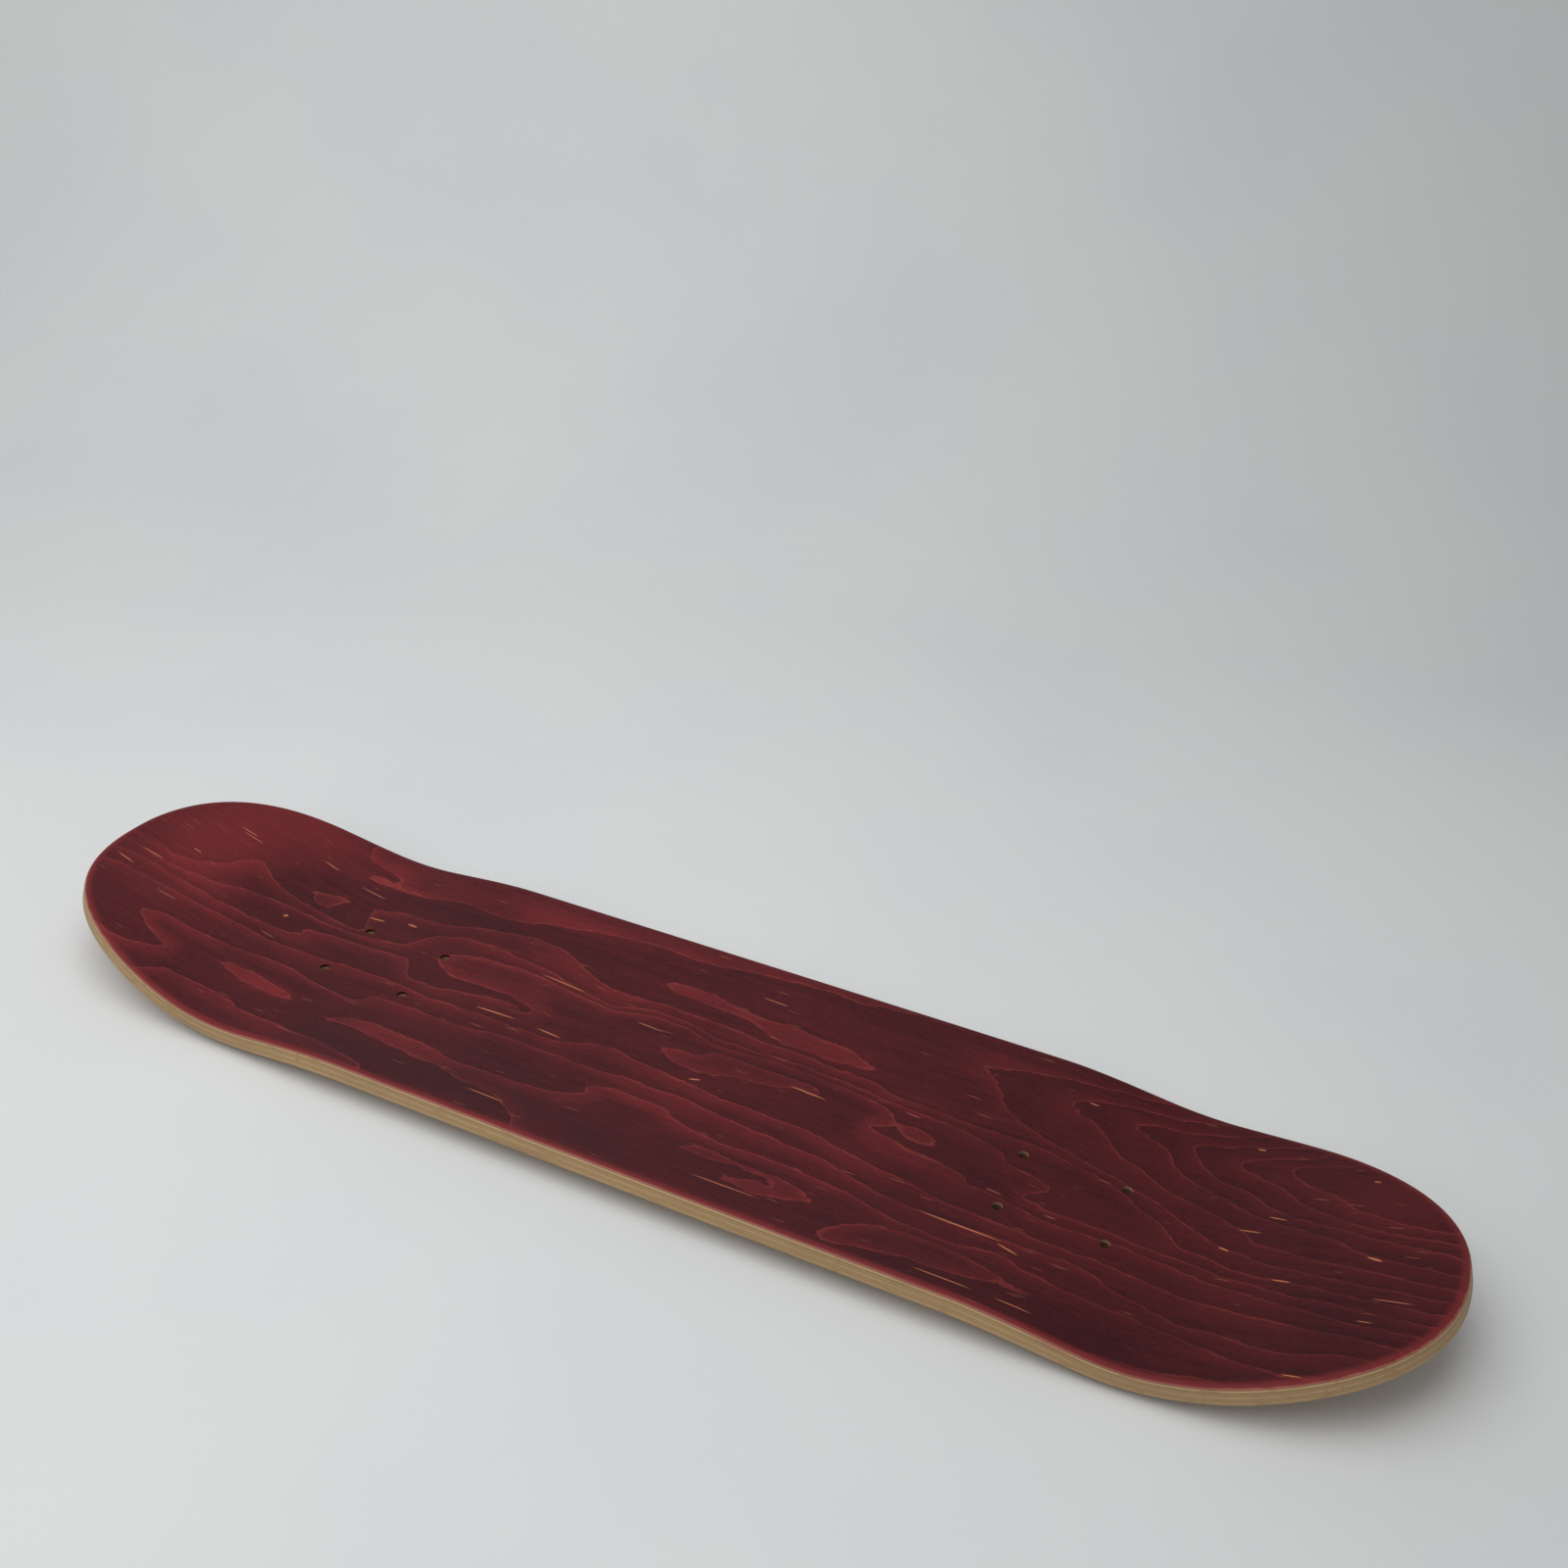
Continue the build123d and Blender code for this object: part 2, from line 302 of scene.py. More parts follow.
# Long open pores: middle, half length and half width, all in millimetres, and slant.
LONG_PORES = (
    (-103, 32.5, 17, 0.55, -0.09), (-40, 21.2, 9.5, 0.6, -0.05), (61, 12, 12, 0.6, -0.06),
    (-122, -9, 14, 0.7, 0.03), (-86, -10.5, 9, 0.6, -0.08), (-83, -75.5, 13, 0.5, -0.02),
    (57, -77, 21, 0.5, 0.01), (14, 69.8, 9, 0.5, -0.03), (3, -7, 3.5, 0.8, 0.35),
    (117, 22, 5.5, 0.5, -0.08), (166, -43.2, 24, 0.7, -0.02), (192, -47.5, 6.5, 0.7, -0.28),
    (172, -84.5, 16, 0.5, 0.0), (206, -83.6, 10, 0.4, 0.02), (293, 13.8, 6, 0.7, 0.03),
    (351, 5, 4, 1.1, -0.25), (284, -2, 3, 0.7, -0.25), (313, -17, 5, 0.6, -0.02),
    (362, -21.5, 10, 0.45, -0.03), (328, -75, 5, 0.5, 0.0), (352, -36.5, 4, 0.5, -0.02),
    (173, -12, 5, 0.5, -0.08), (304, 26, 5, 0.5, -0.08), (287, 76, 2.5, 0.9, 0.0), (200, 71, 3, 0.5, 0.0),
    (203, -16, 3.5, 0.5, 0.0), (345, 61, 2, 0.8, -0.1), (-341, -29.5, 8, 0.5, 0.08),
    (-278, -15.8, 6, 0.5, -0.03), (-236, 33, 6, 0.8, 0.12), (-214, 38, 4, 1.3, -0.03),
    (-281, 4, 1.6, 1.6, 0.3), (-356, 12, 3.5, 0.7, -0.05), (-372, -8, 9, 0.45, 0.03),
    (-380, -22, 7, 0.5, -0.06), (-346, 47, 7, 0.4, 0.0), (-290, 58, 7, 0.45, -0.08),
    (-254, 53, 11, 0.4, -0.08), (-341, 44.5, 9, 0.4, -0.02),
)


class WoodFigure:
    """The growth-ring pattern that the knife opened on the top veneer.

    It is a smooth surface that passes through the listed ring edges, each with its ring count, so that
    every whole number on it is one sharp edge in the wood.
    """

    scale = 100.0
    spacing = 5.0
    softness = 1e-3
    smallest = 1e-12
    batch = 1500

    def __init__(self) -> None:
        """Fits the surface to the ring edges and to the levels between them."""
        places, levels = [], []
        for level, edge in RING_EDGES:
            for start, end in zip(edge[:-1], edge[1:]):
                steps = max(1, math.ceil(math.dist(start, end) / self.spacing))
                places += [np.add(start, np.subtract(end, start) * k / steps) for k in range(steps)]
                levels += [level] * steps
        places += [(x, y) for _, x, y in RING_LEVELS]
        levels += [level for level, _, _ in RING_LEVELS]
        self.places = np.array(places, dtype=float) / self.scale
        count = len(self.places)
        table = np.zeros((count + 3, count + 3))
        gap = self.places[:, None] - self.places[None]
        table[:count, :count] = self.spread((gap**2).sum(-1)) + np.eye(count) * self.softness
        table[:count, count] = table[count, :count] = 1.0
        table[:count, count + 1:] = self.places
        table[count + 1:, :count] = self.places.T
        self.weights = np.linalg.solve(table, np.concatenate([levels, np.zeros(3)]))

    def spread(self, square: np.ndarray) -> np.ndarray:
        """How a thin bent plate sags at a squared distance from a point load."""
        return 0.5 * square * np.log(np.maximum(square, self.smallest))

    def rings(self, at: np.ndarray) -> np.ndarray:
        """Reads the surface at scaled places.

        Args:
            at: one row of scaled length and offset for each place.

        Returns:
            One row of ring count and slope, in rings per metre, for each place.
        """
        count = len(self.places)
        gap = at[:, None] - self.places[None]
        square = np.maximum((gap**2).sum(-1), self.smallest)
        level = self.spread(square) @ self.weights[:count] + self.weights[count]
        level += at @ self.weights[count + 1:]
        pull = (np.log(square) + 1.0) * self.weights[:count]
        slope = (gap * pull[..., None]).sum(1) + self.weights[count + 1:]
        return np.column_stack([level, np.linalg.norm(slope, axis=1) / self.scale / MM])

    def sample(self, u: np.ndarray, v: np.ndarray) -> np.ndarray:
        """Reads the pattern at flat places.

        Args:
            u: distance along the deck, in metres.
            v: distance across it, in metres.

        Returns:
            For each place, the ring count, its slope in rings per metre, and the tone of the stain.
        """
        at = np.stack([u, v], axis=1) / MM / self.scale
        rings = [self.rings(at[start:start + self.batch]) for start in range(0, len(at), self.batch)]
        tone = np.zeros(len(at))
        for x, y, reach_x, reach_y, amount in STAIN_TONES:
            away = ((u / MM - x) / reach_x) ** 2 + ((v / MM - y) / reach_y) ** 2
            tone += amount * np.exp(-away)
        return np.column_stack([np.concatenate(rings), tone])


def deselect() -> None:
    """Leaves edit mode and deselects every object."""
    if bpy.context.object and bpy.context.object.mode != "OBJECT":
        bpy.ops.object.mode_set(mode="OBJECT")
    bpy.ops.object.select_all(action="DESELECT")


def select_only(piece: bpy.types.Object) -> None:
    """Makes one piece the only selected and active one.

    Args:
        piece: the piece.
    """
    deselect()
    piece.select_set(True)
    bpy.context.view_layer.objects.active = piece


def face_outwards() -> None:
    """Points every face of the mesh in edit mode outwards, and leaves edit mode."""
    bpy.ops.mesh.select_all(action="SELECT")
    bpy.ops.mesh.normals_make_consistent(inside=False)
    bpy.ops.object.mode_set(mode="OBJECT")


@dataclass
class FlatSheet:
    """The flat veneer before pressing: a gridded core, rings out to the outline, and a rim.

    The rings of the margin, next to the outline, later slide inwards to round the deck's edge. The weight
    and the two spreads decide which point of the outline each point of the core's edge reaches.
    """

    form: DeckForm
    core_nose: float = 0.332
    core_tail: float = 0.327
    core_half_width: float = 0.060
    cells_along: int = 216
    cells_across: int = 42
    spread_rings: int = 7
    margin: float = 0.0065
    margin_rings: int = 3
    rim_cuts: int = 4
    outline_points: int = 7201
    across_weight: float = 2.2
    side_spread: float = 1.5
    end_spread: float = 0.93
    normal_step: float = 0.0004
    smooth_angle: float = math.radians(32.0)
    wheelbase: float = 0.3556
    bolt_long: float = 0.05398
    bolt_cross: float = 0.04128
    bolt_hole: float = 0.0056
    bolt_sides: int = 32
    drill_plies: float = 8.0
    figured_share: float = 0.9
    anchors: np.ndarray = field(init=False)
    inward: np.ndarray = field(init=False)
    flat: np.ndarray = field(init=False)
    slides: np.ndarray = field(init=False)
    shares: np.ndarray = field(init=False)

    def outline(self) -> tuple[np.ndarray, np.ndarray]:
        """Walks round the outline once, from the tail's tip.

        Returns:
            A dense run of points, as distances along the deck and distances across it.
        """
        turn = np.linspace(0.0, 2.0 * math.pi, self.outline_points)
        share = np.cos(turn)
        u = np.where(share < 0, self.form.nose.length, self.form.tail.length) * share
        return u, np.sign(np.sin(turn)) * self.form.half_width(u)

    def settle_anchors(self, core: np.ndarray) -> None:
        """Pairs each point on the core's edge with a point on the outline and its inward normal.

        Args:
            core: one row of X and Y for each point on the core's edge.
        """
        u, v = self.outline()
        steps = np.concatenate([[0.0], np.cumsum(np.hypot(np.diff(u), np.diff(v)))])
        bearing = np.unwrap(np.arctan2(v * self.across_weight, u))
        at_nose = core[:, 0] < 0
        stretch = (np.where(at_nose, self.form.nose.length, self.form.tail.length)
                   / np.where(at_nose, self.core_nose, self.core_tail))
        target = np.arctan2(core[:, 1] * self.across_weight * self.side_spread,
                            core[:, 0] * (1.0 + (stretch - 1.0) * self.end_spread))
        target = np.where(target < 0, target + 2.0 * math.pi, target)
        at = np.interp(target, bearing, steps)
        self.anchors = np.stack([np.interp(at, steps, u), np.interp(at, steps, v)], axis=1)
        ahead, behind = (
            np.stack([np.interp(at + step, steps, line, period=steps[-1]) for line in (u, v)], axis=1)
            for step in (self.normal_step, -self.normal_step))
        run = ahead - behind
        run /= np.linalg.norm(run, axis=1)[:, None]
        self.inward = np.stack([-run[:, 1], run[:, 0]], axis=1)

    def build(self) -> bpy.types.Object:
        """Builds the flat plate once, with its bolt holes.

        Returns:
            The plate. Its X and Y are the flat shape and its Z runs from 0 to -1 ply.
        """
        deselect()
        bpy.ops.mesh.primitive_grid_add(x_subdivisions=self.cells_along, y_subdivisions=self.cells_across,
                                        size=2.0)
        plate = bpy.context.object
        for vertex in plate.data.vertices:
            vertex.co.x *= self.core_nose if vertex.co.x < 0 else self.core_tail
            vertex.co.y *= self.core_half_width
        self.add_rings(plate)
        self.add_thickness(plate)
        self.drill(plate)
        self.settle_rim(plate)
        return plate

    def add_rings(self, plate: bpy.types.Object) -> None:
        """Extrudes the core's edge outwards, ring by ring, as far as the outline.

        Args:
            plate: the gridded core.
        """
        select_only(plate)
        bpy.ops.object.mode_set(mode="EDIT")
        bpy.ops.mesh.select_mode(type="EDGE")
        bpy.ops.mesh.select_all(action="DESELECT")
        bpy.ops.mesh.select_non_manifold()
        sheet = bmesh.from_edit_mesh(plate.data)
        core = np.array([v.co.xy for v in sheet.verts if v.select])
        self.settle_anchors(core)
        inner = self.anchors + self.inward * self.margin
        rings = [start + (end - start) * (k / count)
                 for start, end, count in ((core, inner, self.spread_rings),
                                           (inner, self.anchors, self.margin_rings))
                 for k in range(1, count + 1)]
        current = core
        for ring in rings:
            bpy.ops.mesh.extrude_edges_move()
            sheet = bmesh.from_edit_mesh(plate.data)
            moving = [vertex for vertex in sheet.verts if vertex.select]
            places = self.match([vertex.co for vertex in moving], current)
            for vertex, place in zip(moving, places):
                vertex.co.xy = ring[place]
            bmesh.update_edit_mesh(plate.data)
            current = ring
        face_outwards()

    @staticmethod
    def match(points: Sequence[Sequence[float]], ring: np.ndarray, slack: float = 2e-5) -> list[int]:
        """Finds which point of a ring each flat point lies on.

        Args:
            points: the flat points, of which X and Y count.
            ring: one row of X and Y for each point of the ring.
            slack: how far off a point may lie.

        Returns:
            The index of the ring's point, or -1 where a point lies on none.
        """
        tree = KDTree(len(ring))
        for index, place in enumerate(ring):
            tree.insert((place[0], place[1], 0.0), index)
        tree.balance()
        found = (tree.find((point[0], point[1], 0.0)) for point in points)
        return [index if distance < slack else -1 for _, index, distance in found]

    def add_thickness(self, plate: bpy.types.Object) -> None:
        """Copies the sheet one ply lower and bridges the two outer rims.

        Args:
            plate: the flat sheet, out to the outline.
        """
        select_only(plate)
        bpy.ops.object.mode_set(mode="EDIT")
        bpy.ops.mesh.select_all(action="SELECT")
        bpy.ops.mesh.duplicate_move(TRANSFORM_OT_translate={"value": (0.0, 0.0, -self.form.ply_thickness)})
        bpy.ops.mesh.flip_normals()
        bpy.ops.mesh.select_all(action="DESELECT")
        bpy.ops.mesh.select_non_manifold()
        bpy.ops.mesh.bridge_edge_loops(number_cuts=self.rim_cuts, interpolation="LINEAR")
        face_outwards()

    def drill(self, plate: bpy.types.Object) -> None:
        """Cuts the eight bolt holes through the plate.

        Args:
            plate: the closed flat plate.
        """
        drills = []
        middle = (self.wheelbase + self.bolt_long) / 2.0
        for end in (-middle, middle):
            for along in (-self.bolt_long / 2.0, self.bolt_long / 2.0):
                for across in (-self.bolt_cross / 2.0, self.bolt_cross / 2.0):
                    deselect()
                    bpy.ops.mesh.primitive_cylinder_add(
                        vertices=self.bolt_sides, radius=self.bolt_hole / 2.0,
                        depth=self.drill_plies * self.form.ply_thickness,
                        location=(end + along, across, 0.0))
                    bpy.ops.object.transform_apply(location=True, rotation=True, scale=True)
                    drills.append(bpy.context.object)
        select_only(drills[0])
        for bit in drills:
            bit.select_set(True)
        bpy.ops.object.join()
        select_only(plate)
        cut = plate.modifiers.new("bolt_holes", "BOOLEAN")
        cut.operation, cut.object, cut.solver = "DIFFERENCE", drills[0], "EXACT"
        bpy.ops.object.modifier_apply(modifier=cut.name)
        bpy.data.objects.remove(drills[0])

    def settle_rim(self, plate: bpy.types.Object) -> None:
        """Notes which flat vertices lie in the rounded margin, how deep, and which way they slide.

        Args:
            plate: the drilled flat plate.
        """
        self.flat = np.zeros(len(plate.data.vertices) * 3)
        plate.data.vertices.foreach_get("co", self.flat)
        self.flat = self.flat.reshape(-1, 3)
        self.slides = np.zeros((len(self.flat), 2))
        self.shares = np.zeros(len(self.flat))
        for k in range(1, self.margin_rings + 1):
            share = k / self.margin_rings
            ring = self.anchors + self.inward * self.margin * (1.0 - share)
            places = np.array(self.match(self.flat, ring))
            hit = places >= 0
            self.slides[hit] = self.inward[places[hit]] * share
            self.shares[hit] = share

    def press_copy(self, plate: bpy.types.Object, name: str, index: int,
                   figure: WoodFigure | None = None) -> bpy.types.Object:
        """Copies the flat plate and presses the copy into one veneer of the deck.

        Args:
            plate: the flat plate.
            name: the veneer's name.
            index: its place in the stack, 0 on top.
            figure: the growth-ring pattern of its face, if that shows.

        Returns:
            The pressed veneer.
        """
        veneer = plate.copy()
        veneer.data = plate.data.copy()
        veneer.name = veneer.data.name = name
        bpy.context.scene.collection.objects.link(veneer)
        mesh = veneer.data
        depth = self.form.ply_thickness * index - self.flat[:, 2]
        inset = self.form.rounding(depth)
        slide = self.slides * inset[:, None]
        rim = self.margin * (1.0 - self.shares) + inset * self.shares
        u, v = self.flat[:, 0] + slide[:, 0], self.flat[:, 1] + slide[:, 1]
        mesh.vertices.foreach_set("co", self.form.press(u, v, depth).ravel())
        self.store(mesh, SHEET, "FLOAT_VECTOR", np.stack([u, v, depth], axis=1))
        self.store(mesh, RIM, "FLOAT", rim)
        if figure:
            growth = np.zeros((len(u), 3))
            seen = depth < self.form.ply_thickness * self.figured_share
            growth[seen] = figure.sample(u[seen], v[seen])
            self.store(mesh, GROWTH, "FLOAT_VECTOR", growth)
        mesh.update()
        select_only(veneer)
        bpy.ops.object.shade_smooth_by_angle(angle=self.smooth_angle)
        return veneer

    @staticmethod
    def store(mesh: bpy.types.Mesh, name: str, kind: str, values: np.ndarray) -> None:
        """Keeps one value or vector for each vertex under a name that the finishes read.

        Args:
            mesh: the veneer's mesh.
            name: the attribute's name.
            kind: FLOAT or FLOAT_VECTOR.
            values: one value or row for each vertex.
        """
        attribute = mesh.attributes.new(name, kind, "POINT")
        channel = "vector" if kind == "FLOAT_VECTOR" else "value"
        attribute.data.foreach_set(channel, values.astype(np.float32).ravel())


class Tree:
    """Short calls that add nodes to one material or node group."""

    def __init__(self, tree: bpy.types.NodeTree) -> None:
        """Starts on an existing node tree."""
        self.tree = tree

    def node(self, kind: str, inputs: dict[Any, Any] | None = None, **settings: Any) -> bpy.types.Node:
        """Adds a node.

        Args:
            kind: the node's type.
            inputs: for each input's name, a value to set or a socket to link.
            settings: the node's own properties.

        Returns:
            The node.
        """
        node = self.tree.nodes.new(kind)
        for name, value in settings.items():
            setattr(node, name, value)
        for name, value in (inputs or {}).items():
            self.feed(node.inputs[name], value)
        return node

    def feed(self, socket: bpy.types.NodeSocket, value: Any) -> None:
        """Links a socket into an input, or sets the input's own value.

        Args:
            socket: the input.
            value: a socket to link, or a plain value.
        """
        if isinstance(value, bpy.types.NodeSocket):
            self.tree.links.new(value, socket)
        else:
            socket.default_value = value

    def effect(self, group: bpy.types.NodeTree, inputs: dict[str, Any]) -> Sequence[bpy.types.NodeSocket]:
        """Places a shared node group, and gives its outputs."""
        return self.node("ShaderNodeGroup", node_tree=group, inputs=inputs).outputs

    def attribute(self, name: str, output: str = "Vector") -> bpy.types.NodeSocket:
        """One of the vertex attributes that the veneer carries."""
        return self.node("ShaderNodeAttribute", attribute_name=name).outputs[output]

    def split(self, vector: Any) -> Sequence[bpy.types.NodeSocket]:
        """The three parts of a vector."""
        return self.node("ShaderNodeSeparateXYZ", inputs={"Vector": vector}).outputs

    def math(self, operation: str, *values: Any, clamp: bool = False) -> bpy.types.NodeSocket:
        """Adds a Math node.

        Args:
            operation: what it does.
            values: its one to three inputs.
            clamp: whether the result stays between 0 and 1.

        Returns:
            Its result.
        """
        node = self.node("ShaderNodeMath", operation=operation, use_clamp=clamp)
        for socket, value in zip(node.inputs, values):
            self.feed(socket, value)
        return node.outputs[0]

    def times(self, first: Any, second: Any) -> bpy.types.NodeSocket:
        """The product of two values."""
        return self.math("MULTIPLY", first, second)

    def sway(self, value: Any, swing: Any, start: Any) -> bpy.types.NodeSocket:
        """A value times its swing, plus where it starts."""
        return self.math("MULTIPLY_ADD", value, swing, start)

    def waver(self, noise: Any, swing: float) -> bpy.types.NodeSocket:
        """Noise from 0 to 1, spread evenly on both sides of 0."""
        return self.sway(noise, swing, -swing / 2.0)

    def moved(self, vector: Any, shift: Any) -> bpy.types.NodeSocket:
        """A vector, moved as far in each of its three directions."""
        return self.node("ShaderNodeVectorMath", operation="ADD", inputs={0: vector, 1: shift}).outputs[0]

    def step(self, value: Any, low: float, high: float, to_low: float = 0.0,
             to_high: float = 1.0) -> bpy.types.NodeSocket:
        """Passes smoothly from one value to another.

        Args:
            value: what decides.
            low: where the step begins.
            high: where it ends.
            to_low: the result before it.
            to_high: the result past it.

        Returns:
            The result.
        """
        node = self.node("ShaderNodeMapRange", interpolation_type="SMOOTHSTEP", inputs={
            "Value": value, "From Min": low, "From Max": high, "To Min": to_low, "To Max": to_high})
        return node.outputs["Result"]

    def mix(self, factor: Any, first: Any, second: Any, blend: str = "MIX") -> bpy.types.NodeSocket:
        """Mixes two colours.

        Args:
            factor: how much of the second one shows.
            first: the colour underneath.
            second: the colour on top.
            blend: how they are combined.

        Returns:
            The mixed colour.
        """
        node = self.node("ShaderNodeMix", data_type="RGBA", blend_type=blend)
        for index, value in ((0, factor), (6, first), (7, second)):
            self.feed(node.inputs[index], value)
        return node.outputs[2]

    def dim(self, colour: Any, value: Any) -> bpy.types.NodeSocket:
        """A colour times one grey value."""
        grey = self.node("ShaderNodeCombineColor", inputs={"Red": value, "Green": value, "Blue": value})
        return self.mix(1.0, colour, grey.outputs[0], "MULTIPLY")

    def noise(self, vector: Any, scale: float = 1.0, detail: float = 2.0, rough: float = 0.5,
              warp: float = 0.0) -> bpy.types.NodeSocket:
        """Adds soft noise.

        Args:
            vector: where it is read.
            scale: its fineness.
            detail: how many finer layers it has.
            rough: how strong those are.
            warp: how far it is twisted.

        Returns:
            Noise between 0 and 1.
        """
        node = self.node("ShaderNodeTexNoise", inputs={
            "Vector": vector, "Scale": scale, "Detail": detail, "Roughness": rough, "Distortion": warp})
        return node.outputs["Fac"]

    def stretch(self, vector: Any, along: float, across: float, shift: float = 0.0) -> bpy.types.NodeSocket:
        """Scales the flat coordinates for a pattern that follows the grain.

        Args:
            vector: the flat coordinates.
            along: waves per metre along the grain.
            across: waves per metre across it.
            shift: moves the pattern, so that two of them differ.

        Returns:
            The scaled coordinates.
        """
        node = self.node("ShaderNodeMapping", inputs={
            "Vector": vector, "Location": (shift, shift * 0.7, shift * 0.3),
            "Scale": (along, across, across)})
        return node.outputs[0]

    def bump(self, shader: bpy.types.Node, height: Any, strength: float, distance: float) -> None:
        """Gives the shader a relief.

        Args:
            shader: the shader node.
            height: the relief's height.
            strength: how much of it shows.
            distance: how high a height of 1 is, in metres.
        """
        node = self.node("ShaderNodeBump", inputs={
            "Height": height, "Strength": strength, "Distance": distance})
        self.feed(shader.inputs["Normal"], node.outputs["Normal"])


def rgb(red: float, green: float, blue: float) -> Colour:
    """Makes a colour linear.

    Args:
        red: its red, as a screen value from 0 to 255.
        green: its green.
        blue: its blue.

    Returns:
        The linear colour, with full alpha.
    """
    def linear(value: float) -> float:
        """One channel, made linear."""
        share = value / 255.0
        return share / 12.92 if share <= 0.04045 else ((share + 0.055) / 1.055) ** 2.4
    return linear(red), linear(green), linear(blue), 1.0


def new_group(name: str, inputs: dict[str, float | None], outputs: Sequence[str]) -> tuple[Tree, Any, Any]:
    """Starts a shader node group.

    Args:
        name: the group's name.
        inputs: each input's starting value, or None where it is a vector.
        outputs: the outputs' names.

    Returns:
        The group's tree, the sockets that its inputs give, and the sockets that it puts out.
    """
    group = bpy.data.node_groups.new(name, "ShaderNodeTree")
    for label, value in inputs.items():
        kind = "NodeSocketVector" if value is None else "NodeSocketFloat"
        socket = group.interface.new_socket(label, in_out="INPUT", socket_type=kind)
        if value is not None:
            socket.default_value = value
    for label in outputs:
        group.interface.new_socket(label, in_out="OUTPUT", socket_type="NodeSocketFloat")
    tree = Tree(group)
    return tree, tree.node("NodeGroupInput").outputs, tree.node("NodeGroupOutput").inputs


class Effects:
    """The node groups that more than one finish uses, or that one finish uses often."""

    def __init__(self) -> None:
        """Builds each group once."""
        self.fibre = self.make_fibre()
        self.pores = self.make_pores()
        self.streak = self.make_streak()
        self.wear = self.make_wear()

    @staticmethod
    def make_fibre() -> bpy.types.NodeTree:
        """Makes fine lengthwise fibre.

        Returns:
            A group with two sizes of stretched noise, Fine and Coarse.
        """
        tree, given, out = new_group("wood_fibre", {"Vector": None, "Shift": 0.0}, ("Fine", "Coarse"))
        place = tree.moved(given["Vector"], given["Shift"])
        tree.feed(out["Fine"], tree.noise(tree.stretch(place, 90.0, 2200.0), detail=3.0, rough=0.6))
        tree.feed(out["Coarse"], tree.noise(tree.stretch(place, 16.0, 330.0, 3.0), detail=3.0, rough=0.55))
        return tree.tree

    @staticmethod
    def make_pores() -> bpy.types.NodeTree:
        """Makes short open pores, scattered along the grain.

        Returns:
            A group with their Mask. Its Along and Across are cells per metre, and its Amount is the share
            of the cells that hold a pore.
        """
        tree, given, out = new_group("open_pores", {
            "Vector": None, "Amount": 0.2, "Along": 60.0, "Across": 400.0}, ("Mask",))
        bend = tree.noise(tree.stretch(given["Vector"], 12.0, 30.0), detail=1.0)
        along, across, _ = tree.split(given["Vector"])
        across = tree.math("ADD", across, tree.times(bend, 0.004))
        cell = tree.node("ShaderNodeCombineXYZ", inputs={
            "X": tree.times(along, given["Along"]), "Y": tree.times(across, given["Across"])})
        cells = tree.node("ShaderNodeTexVoronoi", voronoi_dimensions="2D", feature="F1", inputs={
            "Vector": cell.outputs[0], "Scale": 1.0, "Randomness": 1.0})
        # The cell's red and green are where its middle lies, so only its blue is a fair draw.
        colour = tree.node("ShaderNodeSeparateColor", inputs={"Color": cells.outputs["Color"]})
        _, girth, draw = colour.outputs
        size = tree.sway(girth, 0.22, 0.10)
        body = tree.math("SUBTRACT", 1.0, tree.math("DIVIDE", cells.outputs["Distance"], size), clamp=True)
        chosen = tree.math("LESS_THAN", draw, given["Amount"])
        tree.feed(out["Mask"], tree.times(tree.step(body, 0.0, 0.6), chosen))
        return tree.tree

    @staticmethod
    def make_streak() -> bpy.types.NodeTree:
        """Makes one long open pore at a set place.

        Returns:
            A group with its Mask, joined to the mask of the pores before it.
        """
        tree, given, out = new_group("long_pore", {
            "Vector": None, "Middle X": 0.0, "Middle Y": 0.0, "Half Length": 0.01,
            "Half Width": 0.0005, "Slant": 0.0, "Before": 0.0}, ("Mask",))
        x, y, _ = tree.split(given["Vector"])
        along = tree.math("SUBTRACT", x, given["Middle X"])
        across = tree.math("SUBTRACT", y, given["Middle Y"])
        across = tree.math("SUBTRACT", across, tree.times(along, given["Slant"]))
        far, wide = (
            tree.math("POWER", tree.math("ABSOLUTE", tree.math("DIVIDE", away, given[reach])), 2.0)
            for away, reach in ((along, "Half Length"), (across, "Half Width")))
        shape = tree.math("ADD", far, wide)
        tree.feed(out["Mask"], tree.math("MAXIMUM", tree.step(shape, 0.35, 1.0, 1.0, 0.0), given["Before"]))
        return tree.tree

    @staticmethod
    def make_wear() -> bpy.types.NodeTree:
        """Makes uneven handling marks.

        Returns:
            A group with broad soft Patches.
        """
        tree, given, out = new_group("handling_marks", {"Vector": None, "Shift": 0.0}, ("Patches",))
        place = tree.moved(given["Vector"], given["Shift"])
        tree.feed(out["Patches"], tree.noise(place, 14.0, 3.0, 0.55))
        return tree.tree


class Finish:
    """What every finish shares: a material with one Principled shader."""

    @staticmethod
    def start(name: str) -> tuple[bpy.types.Material, Tree, bpy.types.Node]:
        """Starts a node material.

        Args:
            name: the material's name.

        Returns:
            The material, its tree and its shader node.
        """
        material = bpy.data.materials.new(name)
        material.use_nodes = True
        tree = Tree(material.node_tree)
        return material, tree, next(n for n in tree.tree.nodes if n.type == "BSDF_PRINCIPLED")


